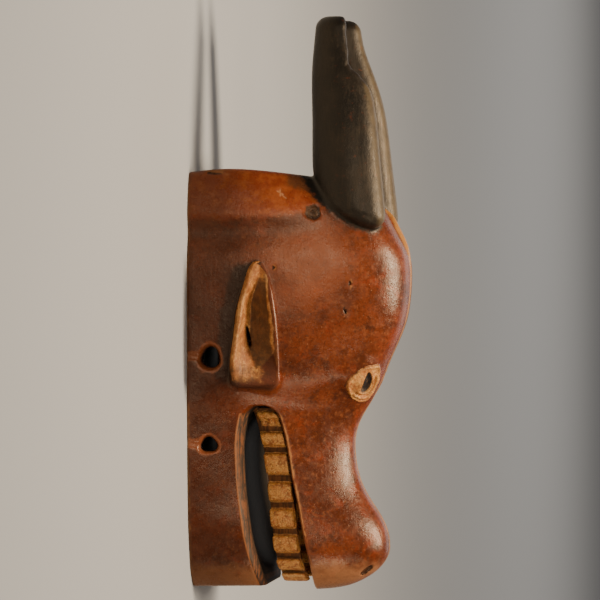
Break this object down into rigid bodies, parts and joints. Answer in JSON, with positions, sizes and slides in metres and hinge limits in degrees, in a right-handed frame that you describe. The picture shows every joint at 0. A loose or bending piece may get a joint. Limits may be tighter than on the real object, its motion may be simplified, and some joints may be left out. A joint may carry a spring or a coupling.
{
  "type": "carved horned animal mask",
  "caption": "Carved wooden face mask of a horned animal with an open toothed mouth, leaf-shaped ears and a hollow back, lashed on through holes in its sides.",
  "frame": {"origin": "centre of the flat back's plane, under the middle of the mask's whole length and width, where it rests lying face up", "axes": "+Z the way the face looks, +Y up the mask from the snout to the tips of the horns, +X towards the mask's own left cheek"},
  "size_m": [0.1728, 0.4246, 0.1551],
  "materials": {
    "carved_wood": "hand-carved hardwood rubbed with red ochre and burnished, with blackened horns"
  },
  "bodies": {
    "root": {"mask": "carved_wood"}
  },
  "joints": []
}
